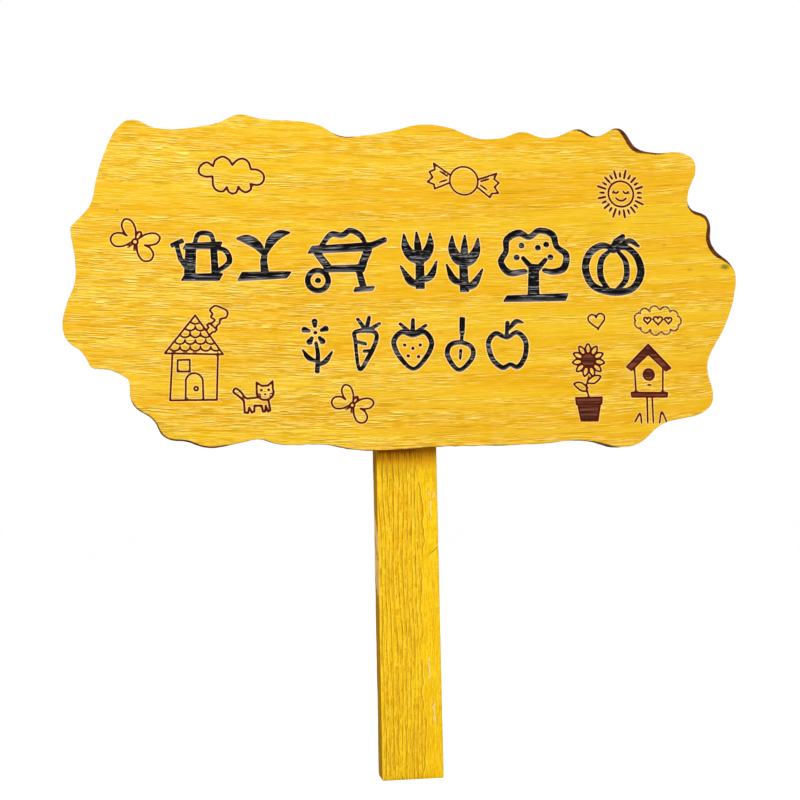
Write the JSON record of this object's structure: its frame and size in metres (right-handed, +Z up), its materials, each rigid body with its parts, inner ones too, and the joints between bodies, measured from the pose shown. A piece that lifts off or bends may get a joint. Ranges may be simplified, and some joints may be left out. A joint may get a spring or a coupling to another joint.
{
  "type": "stake sign",
  "caption": "Wooden garden sign: a thick wavy-edged board on a flat square-cut stake, screwed together from behind.",
  "frame": {"origin": "middle of the stake's lower end", "axes": "+Z up along the stake, the board faces -Y, +X to the right of someone who reads the board"},
  "size_m": [0.499, 0.0383, 0.482],
  "materials": {
    "board_wood": "amber-yellow oil stain over straight grain, dark brown on the sawn rim, satin",
    "stake_wood": "amber-yellow oil stain over coarse brushed softwood grain, satin",
    "zinc_steel": "bright zinc-plated steel"
  },
  "bodies": {
    "root": {"board": "board_wood", "stake": "stake_wood", "screw_1": "zinc_steel", "screw_2": "zinc_steel", "screw_3": "zinc_steel", "screw_4": "zinc_steel"}
  },
  "joints": []
}
